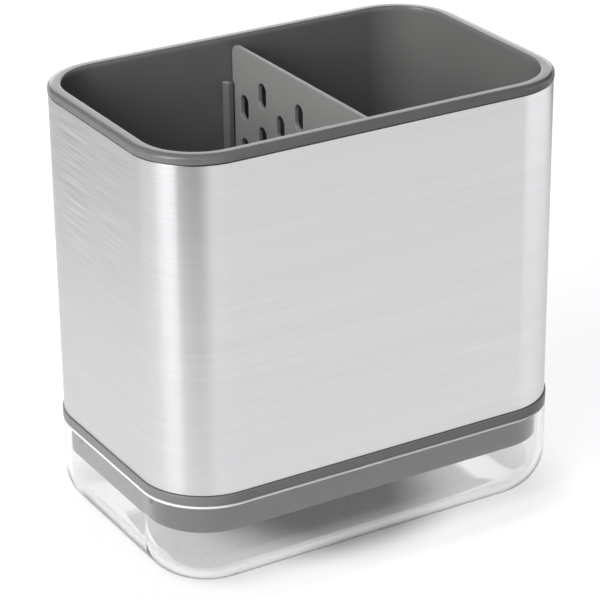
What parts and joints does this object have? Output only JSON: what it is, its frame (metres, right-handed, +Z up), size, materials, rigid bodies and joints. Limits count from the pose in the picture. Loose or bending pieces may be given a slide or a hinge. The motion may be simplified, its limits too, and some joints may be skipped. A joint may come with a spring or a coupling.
{
  "type": "utensil holder",
  "caption": "Brushed steel utensil holder with a plastic inner bin, a slotted lift-out divider and a clear drip tray that it stands in.",
  "frame": {"origin": "middle of the drip tray's flat underside", "axes": "+Z up, +X along the long side, -Y towards the front"},
  "size_m": [0.147, 0.095, 0.146],
  "materials": {
    "brushed_steel": "fine brushing that runs level round the sleeve",
    "bin_plastic": "satin moulded plastic, dark grey",
    "collar_plastic": "satin moulded plastic, dark grey",
    "divider_plastic": "satin moulded plastic, mid grey",
    "clear_plastic": "clear moulded plastic, polished"
  },
  "bodies": {
    "tray": {"drip_tray": "clear_plastic"},
    "caddy": {"base_collar": "collar_plastic", "steel_sleeve": "brushed_steel", "inner_bin": "bin_plastic"},
    "divider": {"divider": "divider_plastic"}
  },
  "joints": [
    {"name": "caddy_lift", "type": "slide", "parent": "tray", "child": "caddy", "axis": [0, 0, 1], "range_m": [0, 0.06]},
    {"name": "divider_lift", "type": "slide", "parent": "caddy", "child": "divider", "axis": [0, 0, 1], "range_m": [0, 0.122]}
  ]
}
